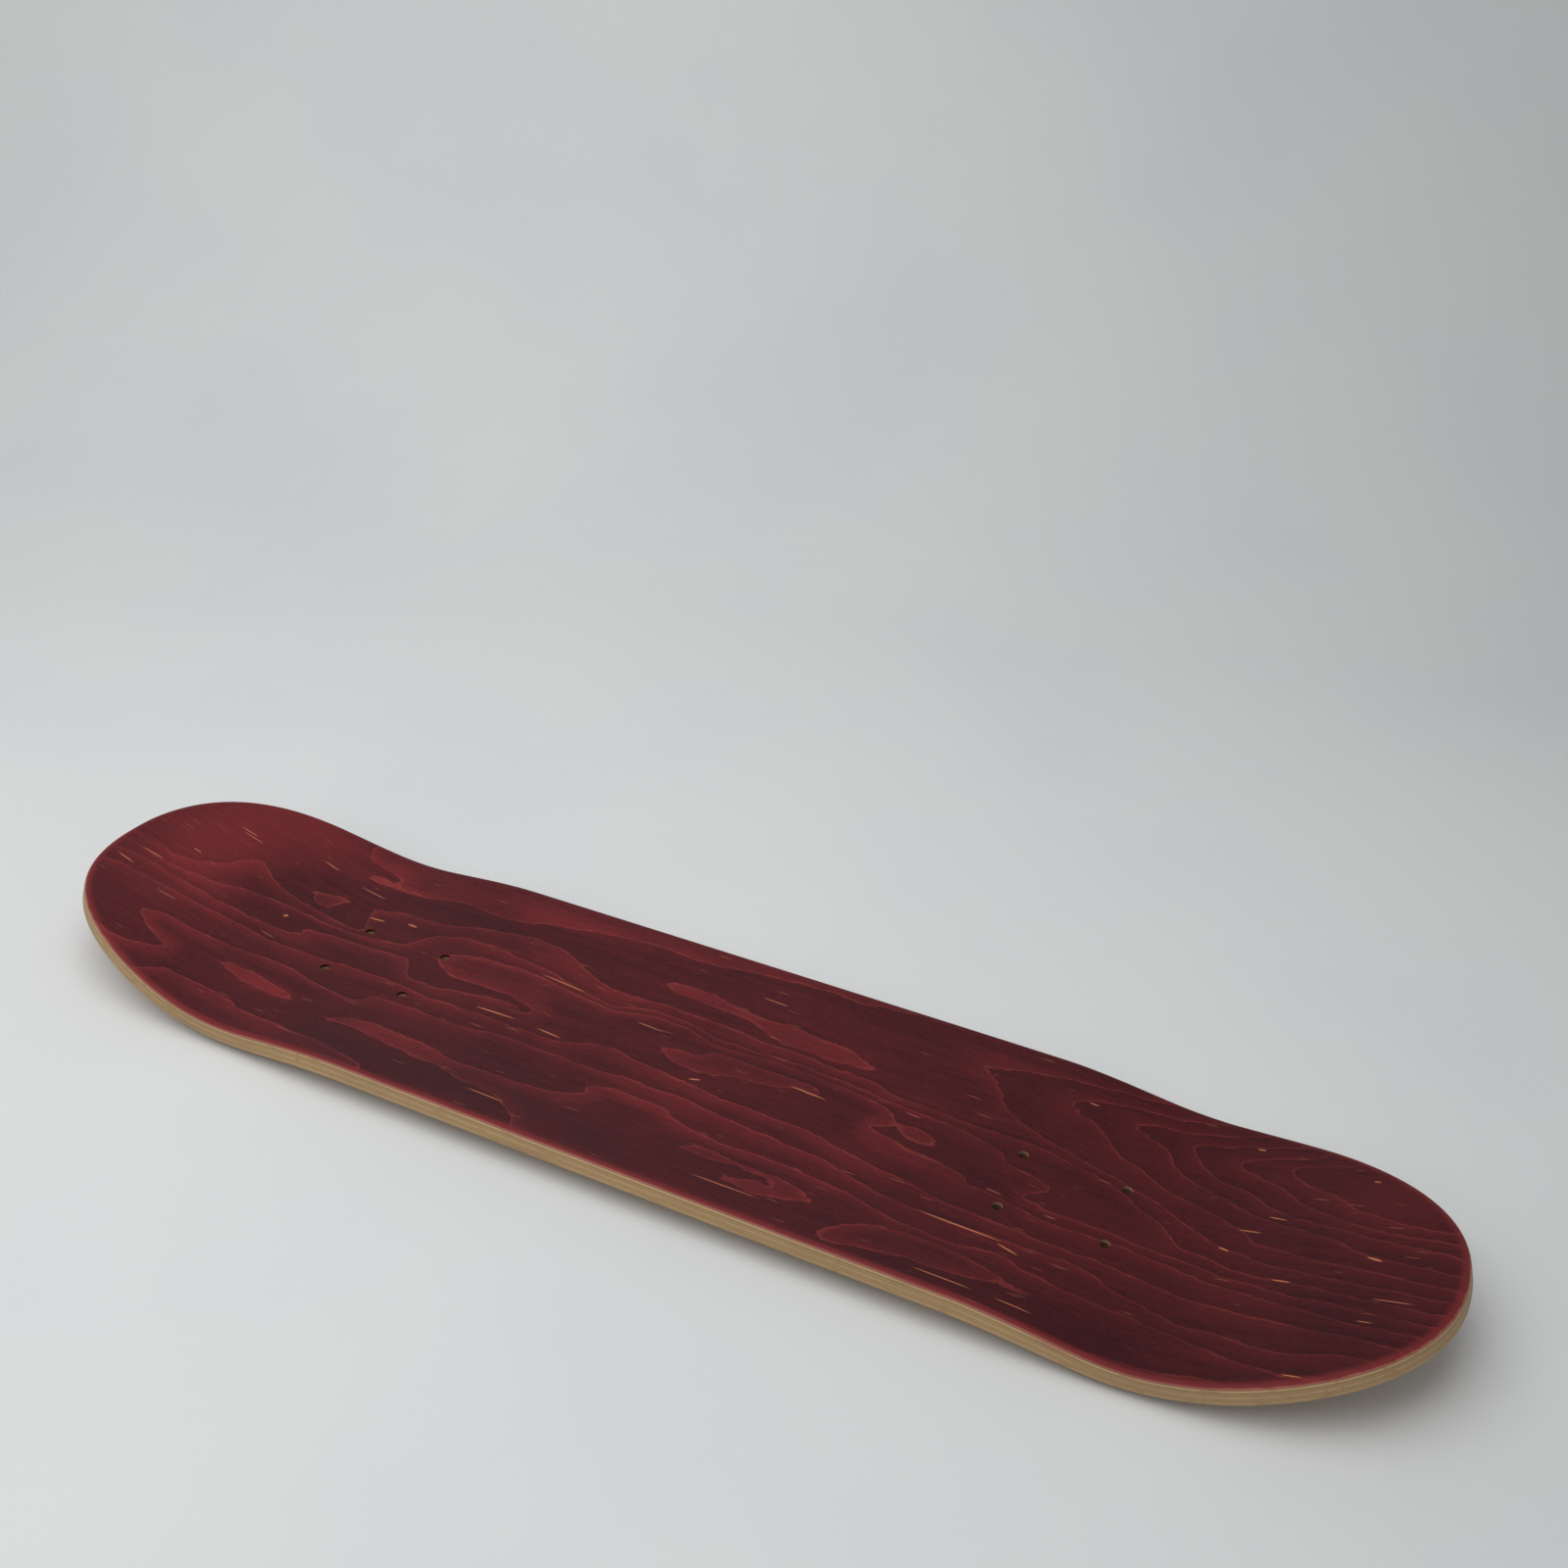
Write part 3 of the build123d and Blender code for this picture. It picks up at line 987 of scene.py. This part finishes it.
@dataclass
class Ground:
    """What both wood finishes read: places on the veneer, its fibre and its handling marks."""

    tree: Tree
    effects: Effects
    turned: bool = False
    shift: float = 0.0
    wear_shift: float = 0.0
    sheet: bpy.types.NodeSocket = field(init=False)
    along: bpy.types.NodeSocket = field(init=False)
    across: bpy.types.NodeSocket = field(init=False)
    depth: bpy.types.NodeSocket = field(init=False)
    rim: bpy.types.NodeSocket = field(init=False)
    grain: bpy.types.NodeSocket = field(init=False)
    fine: bpy.types.NodeSocket = field(init=False)
    coarse: bpy.types.NodeSocket = field(init=False)
    patches: bpy.types.NodeSocket = field(init=False)

    def __post_init__(self) -> None:
        """Adds the nodes that the finish starts from."""
        tree = self.tree
        self.sheet = tree.attribute(SHEET)
        self.along, self.across, self.depth = tree.split(self.sheet)
        self.rim = tree.attribute(RIM, "Fac")
        self.grain = self.sheet
        if self.turned:
            self.grain = tree.node("ShaderNodeMapping", inputs={
                "Vector": self.sheet, "Rotation": (0.0, 0.0, math.pi / 2.0)}).outputs[0]
        fibre = tree.effect(self.effects.fibre, {"Vector": self.grain, "Shift": self.shift})
        self.fine, self.coarse = fibre["Fine"], fibre["Coarse"]
        self.patches = tree.effect(self.effects.wear, {
            "Vector": self.sheet, "Shift": self.wear_shift})["Patches"]

    def bore_wall(self, amount: float = 1.0) -> bpy.types.NodeSocket:
        """Marks all that lies inside the margin: the bolt holes' walls and the middle of both skins."""
        return self.tree.step(self.rim, *BORE_WALL, 0.0, amount)

    def by_end(self, nose: Colour, tail: Colour) -> bpy.types.NodeSocket:
        """One colour at the nose's bolt holes and another at the tail's."""
        return self.tree.mix(self.tree.step(self.along, -0.1, 0.1), nose, tail)


@dataclass(frozen=True)
class StainedFace(Finish):
    """The top veneer: red stain over rotary-cut maple, with a sanded, paler rim.

    Distances are in metres. Pairs of distances are where a change begins and where it ends.
    """

    dark: Colour = rgb(60, 21, 25)
    dull: Colour = rgb(48, 23, 27)
    bright: Colour = rgb(116, 38, 42)
    line: Colour = rgb(140, 60, 54)
    rim_red: Colour = rgb(128, 46, 49)
    rim_pale: Colour = rgb(168, 104, 94)
    pore: Colour = rgb(196, 120, 84)
    # dark brown of the nose holes' top wall: partly stain soaked into the wood, partly painted shade in the
    # hole
    soaked_and_shaded: Colour = rgb(52, 26, 24)
    chipped: Colour = rgb(168, 136, 106)
    slow_waver: float = 0.005
    quick_waver: float = 0.0022
    gentlest_slope: float = 12.0
    ring_line: tuple[float, float] = (0.0003, 0.0014)
    glow_reach: float = 0.013
    glow_ends: tuple[float, float, float, float] = (0.08, 0.24, 0.36, 0.20)
    # painted light: where the lengthwise light falloff on the top starts and ends, and the colour's factor at
    # each end
    painted_light_falloff: tuple[float, float, float, float] = (-0.02, 0.30, 1.10, 0.79)
    small_pores: float = 0.30
    long_pore_width: float = 0.8
    sanded_rim: tuple[float, float] = (0.0004, 0.0056)
    stain_depth: tuple[float, float] = (0.0009, 0.0016)
    specular: float = 0.11

    def make(self, effects: Effects) -> bpy.types.Material:
        """Builds the material.

        Args:
            effects: the shared node groups.

        Returns:
            The material.
        """
        material, tree, shader = self.start("red_stained_maple")
        ground = Ground(tree, effects)
        slow = tree.noise(tree.stretch(ground.sheet, 38.0, 90.0))
        colour = self.stain(ground, slow)
        pores = self.open_pores(ground)
        patchy = tree.times(pores, tree.step(ground.coarse, 0.25, 0.55, 0.35, 0.95))
        colour = tree.mix(patchy, colour, self.pore)
        colour = self.sand(ground, slow, colour)
        # The top veneer's bolt-hole walls: at the nose a dark brown that is partly stain soaked into the wood
        # and partly painted shade in the hole; at the tail a plain tan.
        inside = tree.step(ground.depth, 0.00005, 0.0003)
        colour = tree.mix(tree.times(inside, ground.bore_wall()), colour,
                          ground.by_end(self.soaked_and_shaded, self.chipped))
        tree.feed(shader.inputs["Base Color"], colour)
        tree.feed(shader.inputs["Roughness"], tree.math(
            "SUBTRACT", tree.sway(ground.patches, 0.16, 0.50), tree.times(ground.fine, 0.06)))
        shader.inputs["Specular IOR Level"].default_value = self.specular
        tree.bump(shader, tree.math("SUBTRACT", tree.times(ground.fine, 0.5), pores), 0.16, 0.0004)
        return material

    def stain(self, ground: Ground, slow: bpy.types.NodeSocket) -> bpy.types.NodeSocket:
        """Colours the growth rings: a thin light line on each edge, and a glow that fades after it. Last,
        painted shade dims the colour from the middle towards the tail.

        Args:
            ground: what the finish reads.
            slow: broad noise.

        Returns:
            The stained colour.
        """
        tree = ground.tree
        count, slope, tone = tree.split(tree.attribute(GROWTH))
        quick = tree.noise(tree.stretch(ground.sheet, 170.0, 420.0, 5.0))
        waver = tree.math("ADD", tree.waver(slow, self.slow_waver), tree.waver(quick, self.quick_waver))
        ring = tree.math("FRACT", tree.sway(waver, slope, count))
        rest = tree.math("SUBTRACT", 1.0, ring)
        past = tree.math("DIVIDE", ring, tree.math("MAXIMUM", slope, self.gentlest_slope))
        glow = tree.times(tree.step(past, 0.0, self.glow_reach, 1.0, 0.0), tree.math("POWER", rest, 0.6))
        faded = tree.step(ground.patches, 0.36, 0.60, 0.45, 1.0)
        glow_share = tree.times(tree.step(ground.along, *self.glow_ends), faded)
        mottle = tree.noise(tree.stretch(ground.sheet, 420.0, 760.0, 2.0), rough=0.6)
        light = tree.sway(glow, glow_share, tree.sway(rest, 0.10, 0.10))
        for part in (tree.sway(ground.patches, 0.44, -0.20), tree.sway(ground.coarse, 0.56, -0.26),
                     tree.waver(mottle, 0.50)):
            light = tree.math("ADD", light, part)
        light = tree.math("ADD", light, tree.math("MAXIMUM", tone, 0.0), clamp=True)
        gloom = tree.times(tree.math("MAXIMUM", tree.times(tone, -1.0), 0.0), 0.9)
        colour = tree.mix(gloom, tree.mix(light, self.dark, self.bright), self.dull)
        lines = tree.times(tree.step(past, *self.ring_line, 1.0, 0.0), tree.sway(ground.coarse, 0.6, 0.14))
        colour = tree.mix(tree.times(lines, faded), colour, self.line)
        # painted light: the colour is dimmed by the fibre and by a lengthwise falloff standing in for the
        # lamp, times 1.10 over the nose half and down to 0.79 at 0.30 m towards the tail
        return tree.dim(colour, tree.times(tree.sway(ground.fine, 0.66, 0.67),
                                           tree.step(ground.along, *self.painted_light_falloff)))

    def open_pores(self, ground: Ground) -> bpy.types.NodeSocket:
        """Opens the scattered small pores and the long ones.

        Args:
            ground: what the finish reads.

        Returns:
            The mask of all of them.
        """
        tree, streak = ground.tree, ground.effects.streak
        small = tree.effect(ground.effects.pores, {
            "Vector": ground.sheet, "Amount": 0.035, "Along": 52.0, "Across": 640.0})
        mask = tree.times(small["Mask"], self.small_pores)
        for x, y, half_length, half_width, slant in LONG_PORES:
            mask = tree.effect(streak, {
                "Vector": ground.sheet, "Middle X": x * MM, "Middle Y": y * MM,
                "Half Length": half_length * MM, "Half Width": self.long_pore_width * half_width * MM,
                "Slant": slant, "Before": mask})["Mask"]
        return mask

    def sand(self, ground: Ground, slow: bpy.types.NodeSocket, colour: Any) -> bpy.types.NodeSocket:
        """Sands the rim through the stain, most of all along the near side and round the tail.

        Args:
            ground: what the finish reads.
            slow: broad noise.
            colour: the colour before sanding.

        Returns:
            The sanded colour.
        """
        tree = ground.tree
        inner = tree.math("ADD", ground.rim, tree.waver(slow, 0.0016))
        near_side = tree.step(tree.sway(slow, 0.04, ground.across), 0.0, 0.06, 1.0, 0.30)
        tail = tree.step(ground.along, 0.24, 0.36, 0.0, 0.85)
        sanded = tree.times(tree.step(inner, *self.sanded_rim, 1.0, 0.0),
                            tree.math("MAXIMUM", near_side, tail))
        lower = tree.math("ADD", ground.depth, tree.times(ground.coarse, 0.0006))
        border = tree.mix(tree.step(lower, *self.stain_depth), self.rim_red, self.rim_pale)
        return tree.mix(tree.times(sanded, tree.sway(ground.coarse, 0.5, 0.62)), colour, border)


@dataclass(frozen=True)
class BareMaple(Finish):
    """Unstained maple, seen on the edge, in the bolt holes and underneath.

    Distances are in metres. Pairs of distances are where a change begins and where it ends. Seams are given
    as their strength and their reach from the glue.
    """

    pale: Colour = rgb(196, 164, 120)
    deep: Colour = rgb(170, 137, 96)
    cut: Colour = rgb(178, 146, 104)
    end_grain: Colour = rgb(158, 125, 86)
    glue: Colour = rgb(112, 84, 58)
    smudge: Colour = rgb(150, 60, 62)
    bore: Colour = rgb(176, 134, 108)
    # painted shade inside the tail's bolt holes
    painted_shade_bore: Colour = rgb(92, 66, 54)
    rings: float = 17.0
    seam_core: float = 0.00004
    stained_seam: tuple[float, float] = (0.95, 0.00036)
    plain_seam: tuple[float, float] = (0.50, 0.00022)
    outer_edge: tuple[float, float] = (0.0040, 0.0046)
    smudge_middle: float = 0.230
    smudge_reach: tuple[float, float] = (0.002, 0.016)
    smudge_depth: tuple[float, float] = (0.0016, 0.0042)
    specular: float = 0.35

    def make(self, effects: Effects, name: str, index: int, grain: Grain,
             form: DeckForm) -> bpy.types.Material:
        """Builds the material for one veneer, with its own grain and tone.

        Args:
            effects: the shared node groups.
            name: the material's name.
            index: the veneer's place in the stack, 0 on top.
            grain: which way its grain runs.
            form: the deck's shape, for the glue lines' depths.

        Returns:
            The material.
        """
        material, tree, shader = self.start(name)
        ground = Ground(tree, effects, grain is Grain.CROSS, 0.37 * index, 0.9)
        colour = self.wood(ground, index, self.pale if grain is Grain.LONG else self.cut)
        on_edge = tree.step(ground.rim, *self.outer_edge, 1.0, 0.0)
        seam = self.seam(ground, index, form)
        colour = tree.mix(tree.times(seam, on_edge), colour, self.glue)
        colour = tree.mix(tree.times(self.smudged(ground), on_edge), colour, self.smudge)
        # The lower veneers' bolt-hole walls: pale maple at the nose, and at the tail a dark brown that is
        # painted shade in the holes.
        above_skin = tree.step(ground.depth, form.thickness - 0.0004, form.thickness - 0.0001, 1.0, 0.0)
        colour = tree.mix(tree.times(ground.bore_wall(0.85), above_skin), colour,
                          ground.by_end(self.bore, self.painted_shade_bore))
        tree.feed(shader.inputs["Base Color"], colour)
        tree.feed(shader.inputs["Roughness"], tree.sway(ground.patches, 0.2, 0.45))
        shader.inputs["Specular IOR Level"].default_value = self.specular
        tree.bump(shader, tree.math("SUBTRACT", ground.fine, tree.times(seam, 0.8)), 0.2, 0.0003)
        return material

    def wood(self, ground: Ground, index: int, light: Colour) -> bpy.types.NodeSocket:
        """Colours the plain wood, with its rings, fibre and pores.

        Args:
            ground: what the finish reads.
            index: the veneer's place in the stack.
            light: its lightest colour.

        Returns:
            The wood's colour.
        """
        tree = ground.tree
        bands = tree.noise(tree.stretch(ground.grain, 3.2, 26.0, 0.6 * index), rough=0.45, warp=0.3)
        ring = tree.math("FRACT", tree.times(bands, self.rings))
        late = tree.times(tree.step(ring, 0.72, 0.98), tree.step(ring, 0.98, 1.0, 1.0, 0.0))
        blend = tree.math("ADD", tree.times(ground.coarse, 0.8), tree.times(late, 0.55), clamp=True)
        colour = tree.dim(tree.mix(blend, light, self.deep), tree.sway(ground.patches, 0.36, 0.80))
        colour = tree.dim(colour, tree.sway(ground.fine, 0.34, 0.83))
        pores = tree.effect(ground.effects.pores, {
            "Vector": ground.grain, "Amount": 0.10, "Along": 110.0, "Across": 700.0})
        return tree.mix(tree.times(pores["Mask"], 0.45), colour, self.end_grain)

    def seam(self, ground: Ground, index: int, form: DeckForm) -> bpy.types.NodeSocket:
        """Marks the glue lines at the veneer's two faces.

        Args:
            ground: what the finish reads.
            index: the veneer's place in the stack.
            form: the deck's shape, for the glue lines' depths.

        Returns:
            How strongly they show. The veneer under the stained one has the darkest.
        """
        tree = ground.tree
        into = tree.math("SUBTRACT", ground.depth, form.ply_thickness * index)
        near = tree.math("MINIMUM", tree.math("ABSOLUTE", into),
                         tree.math("ABSOLUTE", tree.math("SUBTRACT", into, form.ply_thickness)))
        strength, reach = self.stained_seam if index == 1 else self.plain_seam
        return tree.step(tree.math("ADD", near, tree.waver(ground.coarse, 0.00012)),
                         self.seam_core, reach, strength, 0.0)

    def smudged(self, ground: Ground) -> bpy.types.NodeSocket:
        """Marks the smear of stain on the near edge.

        Args:
            ground: what the finish reads.

        Returns:
            How strongly it shows.
        """
        tree = ground.tree
        away = tree.math("ABSOLUTE", tree.math("SUBTRACT", ground.along, self.smudge_middle))
        smear = tree.step(away, *self.smudge_reach, 1.0, 0.0)
        for part in (tree.math("LESS_THAN", ground.across, 0.0),
                     tree.step(ground.depth, *self.smudge_depth, 0.75, 0.0),
                     tree.step(ground.coarse, 0.3, 0.6)):
            smear = tree.times(smear, part)
        return smear


@dataclass(frozen=True)
class MattPaper(Finish):
    """Matt seamless paper with the faintest unevenness."""

    pale: Colour = rgb(228, 229, 229)
    shaded: Colour = rgb(222, 224, 225)
    cloud_scale: float = 3.0
    weave_scale: float = 420.0
    specular: float = 0.25

    def make(self) -> bpy.types.Material:
        """Builds the material.

        Returns:
            The material.
        """
        material, tree, shader = self.start("pale_paper")
        place = tree.node("ShaderNodeTexCoord").outputs["Object"]
        cloudy = tree.noise(place, self.cloud_scale, 4.0)
        tree.feed(shader.inputs["Base Color"],
                  tree.mix(tree.step(cloudy, 0.3, 0.75), self.pale, self.shaded))
        tree.feed(shader.inputs["Roughness"], tree.sway(cloudy, 0.2, 0.6))
        shader.inputs["Specular IOR Level"].default_value = self.specular
        tree.bump(shader, tree.noise(place, self.weave_scale, rough=0.6), 0.05, 0.001)
        return material


@dataclass(frozen=True)
class Veneer:
    """One veneer of the stack."""

    node: str
    slot: str
    grain: Grain


@dataclass
class Deck:
    """The whole deck: seven veneers pressed from one flat sheet."""

    form: DeckForm = field(default_factory=DeckForm)
    veneers: tuple[Veneer, ...] = (
        Veneer("top_face_ply", "red_stained_maple", Grain.LONG),
        Veneer("upper_long_ply", "long_grain_maple", Grain.LONG),
        Veneer("upper_cross_ply", "cross_grain_maple", Grain.CROSS),
        Veneer("core_ply", "long_grain_maple", Grain.LONG),
        Veneer("lower_cross_ply", "cross_grain_maple", Grain.CROSS),
        Veneer("lower_long_ply", "long_grain_maple", Grain.LONG),
        Veneer("bottom_face_ply", "long_grain_maple", Grain.LONG))

    def build(self) -> None:
        """Builds, dresses and places every veneer."""
        effects = Effects()
        sheet = FlatSheet(self.form)
        plate = sheet.build()
        for index, veneer in enumerate(self.veneers):
            figure = WoodFigure() if index == 0 else None
            piece = sheet.press_copy(plate, veneer.node + "_veneer", index, figure)
            if index == 0:
                material = StainedFace().make(effects)
            else:
                material = BareMaple().make(effects, veneer.node + "_maple", index, veneer.grain, self.form)
            piece.data.materials.clear()
            piece.data.materials.append(material)
            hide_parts(veneer.node)
            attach(piece, "root")
            log.info("pressed %s with %d faces", piece.name, len(piece.data.polygons))
        bpy.data.objects.remove(plate)


@dataclass(frozen=True)
class Softbox:
    """A soft square light: where it hangs, the point it faces, its side in metres and its watts."""

    name: str
    place: Triple
    aim: Triple
    size: float
    power: float

    def add(self) -> None:
        """Adds the light."""
        data = bpy.data.lights.new(self.name, "AREA")
        data.size, data.energy = self.size, self.power
        light = bpy.data.objects.new(self.name, data)
        light.location = self.place
        light.rotation_euler = (Vector(self.aim) - Vector(self.place)).to_track_quat("-Z", "Y").to_euler()
        bpy.context.scene.collection.objects.link(light)


@dataclass(frozen=True)
class Studio:
    """The paper sweep, the soft lights and the camera."""

    camera_place: Triple = (0.316331, -0.610126, 0.570229)
    camera_turn: Triple = (60.93016, -2.49345, 25.47763)
    lens: float = 37.2314
    sensor: float = 36.0
    sweep_turn: float = 21.0
    sweep_start: float = 0.62
    sweep_radius: float = 0.55
    sweep_steps: int = 24
    sweep_height: float = 2.6
    sweep_half_width: float = 2.6
    sweep_front: float = -2.4
    paper_gap: float = 0.0003
    lights: tuple[Softbox, ...] = (
        Softbox("overhead_softbox", (-0.30, -0.22, 1.30), (-0.26, -0.12, 0.0), 1.5, 12.3),
        Softbox("front_fill", (-0.7, -1.5, 1.3), (-0.2, -0.2, 0.0), 1.2, 6.5))
    room_colour: Colour = (0.845, 0.86, 0.872, 1.0)
    room_strength: float = 0.33

    def add_camera(self) -> None:
        """Adds the camera and makes it the scene's own."""
        data = bpy.data.cameras.new("camera")
        data.lens, data.sensor_width, data.clip_start = self.lens, self.sensor, 0.01
        camera = bpy.data.objects.new("camera", data)
        camera.location = self.camera_place
        camera.rotation_euler = [math.radians(angle) for angle in self.camera_turn]
        bpy.context.scene.collection.objects.link(camera)
        bpy.context.scene.camera = camera

    def add_sweep(self) -> None:
        """Adds the paper: a floor that curves up into a backdrop behind the deck."""
        deselect()
        bpy.ops.mesh.primitive_plane_add(size=2.0)
        paper = bpy.context.object
        paper.name = "paper_sweep"
        turn = math.radians(self.sweep_turn)
        forward = Vector((-math.sin(turn), math.cos(turn), 0.0))
        sideways = Vector((math.cos(turn), math.sin(turn), 0.0))
        for vertex in paper.data.vertices:
            reach = self.sweep_start if vertex.co.y > 0 else self.sweep_front
            vertex.co = forward * reach + sideways * math.copysign(self.sweep_half_width, vertex.co.x)
            vertex.co.z = -self.paper_gap
        select_only(paper)
        bpy.ops.object.mode_set(mode="EDIT")
        bpy.ops.mesh.select_all(action="DESELECT")
        sheet = bmesh.from_edit_mesh(paper.data)
        for edge in sheet.edges:
            edge.select = all(v.co.dot(forward) > self.sweep_start - 0.01 for v in edge.verts)
        bmesh.update_edit_mesh(paper.data)
        for k in range(self.sweep_steps):
            start, end = (math.pi / 2.0 * n / self.sweep_steps for n in (k, k + 1))
            step = forward * (math.sin(end) - math.sin(start)) * self.sweep_radius
            step.z = (math.cos(start) - math.cos(end)) * self.sweep_radius
            bpy.ops.mesh.extrude_edges_move(TRANSFORM_OT_translate={"value": tuple(step)})
        bpy.ops.mesh.extrude_edges_move(TRANSFORM_OT_translate={"value": (0.0, 0.0, self.sweep_height)})
        face_outwards()
        bpy.ops.object.shade_smooth()
        paper.data.materials.append(MattPaper().make())

    def add_room(self) -> None:
        """Adds the even light that comes from all round."""
        world = bpy.data.worlds.new("soft_room")
        world.use_nodes = True
        backing = next(n for n in world.node_tree.nodes if n.type == "BACKGROUND")
        backing.inputs["Color"].default_value = self.room_colour
        backing.inputs["Strength"].default_value = self.room_strength
        bpy.context.scene.world = world
        bpy.context.scene.view_settings.view_transform = "Standard"

    def build(self) -> None:
        """Sets up the paper and the lights."""
        self.add_sweep()
        for light in self.lights:
            light.add()
        self.add_room()


def main() -> None:
    """Builds the studio and the deck."""
    logging.basicConfig(level=logging.INFO)
    studio = Studio()
    studio.add_camera()
    Deck().build()
    studio.build()


if __name__ == "__main__":
    main()
